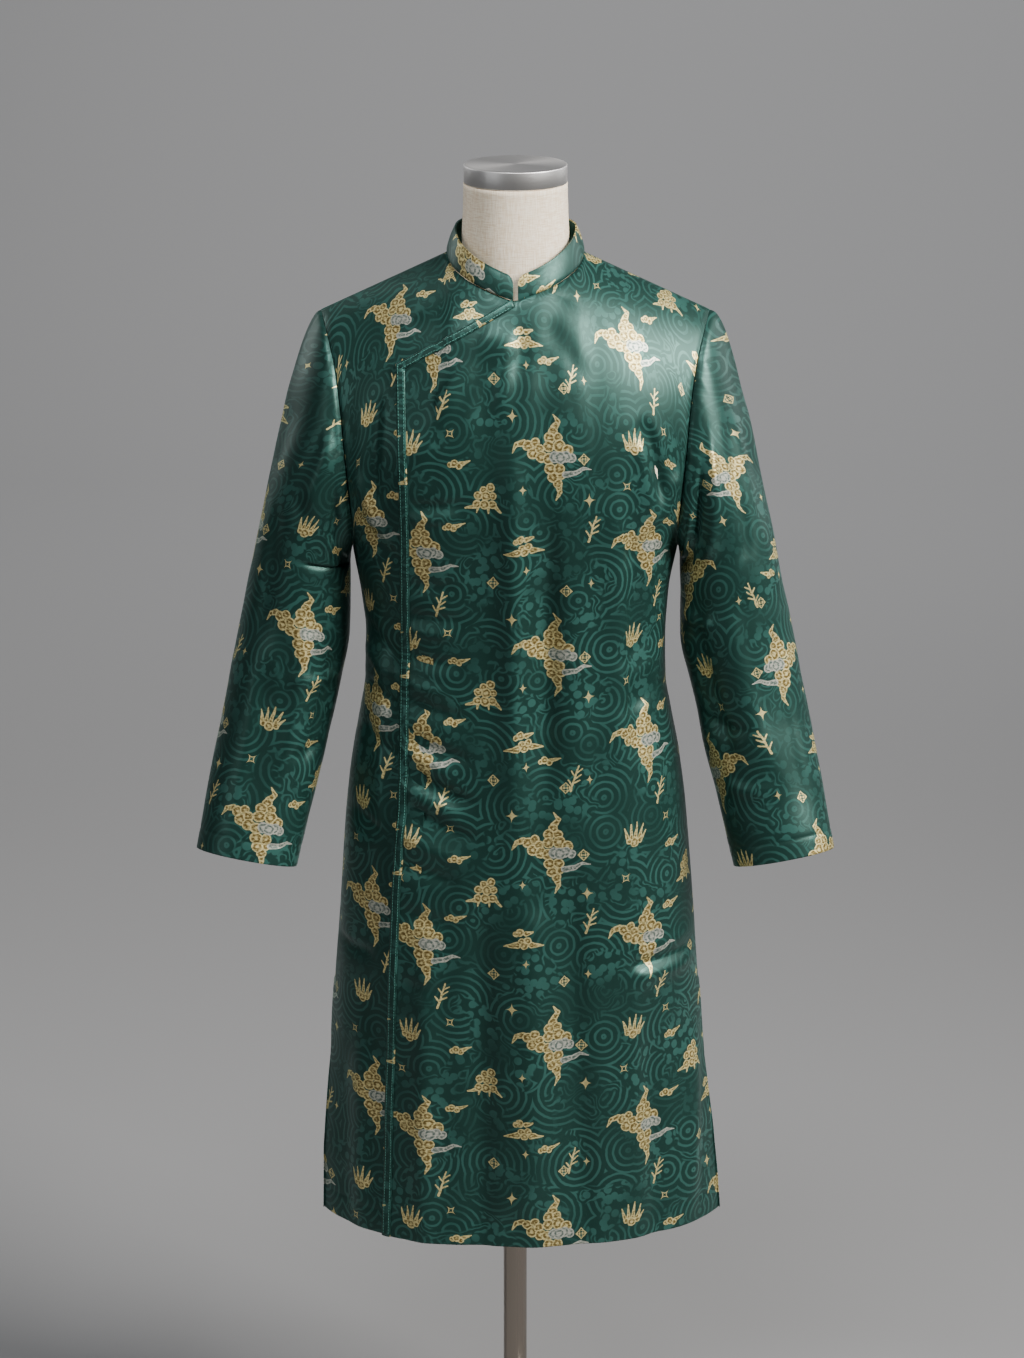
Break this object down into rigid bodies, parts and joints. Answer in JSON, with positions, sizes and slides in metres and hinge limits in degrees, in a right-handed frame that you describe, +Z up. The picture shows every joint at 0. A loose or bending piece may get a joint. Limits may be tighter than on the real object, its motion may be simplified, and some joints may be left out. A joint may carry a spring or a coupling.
{
  "type": "ao dai tunic on a limbless dress form with stand",
  "caption": "Knee-length ao dai tunic with stand collar, long set-in sleeves and a flap closing on the wearer's right, worn on a limbless dress form with a neck cap, pole and round base.",
  "frame": {"origin": "centre of the underside of the base plate, on the floor", "axes": "+Z up along the pole; the front of the tunic faces -Y; +X is the wearer's left"},
  "size_m": [0.7384, 0.39, 1.631],
  "materials": {
    "front": "green satin brocade with gold cloud figures",
    "back": "green satin brocade with gold cloud figures",
    "sleeve_left": "green satin brocade with gold cloud figures",
    "sleeve_right": "green satin brocade with gold cloud figures",
    "collar": "green satin brocade with gold cloud figures",
    "under_front": "green satin brocade with gold cloud figures",
    "flap_strip": "green satin edge strip",
    "dress_form": "natural linen cover",
    "neck_cap": "brushed steel",
    "pole": "brushed steel",
    "base_plate": "brushed steel"
  },
  "bodies": {
    "root": {"front": "front", "under_front": "under_front", "flap_strip": "flap_strip", "back": "back", "sleeve_left": "sleeve_left", "sleeve_right": "sleeve_right", "collar": "collar", "dress_form": "dress_form", "neck_cap": "neck_cap", "pole": "pole", "base_plate": "base_plate"}
  },
  "joints": []
}
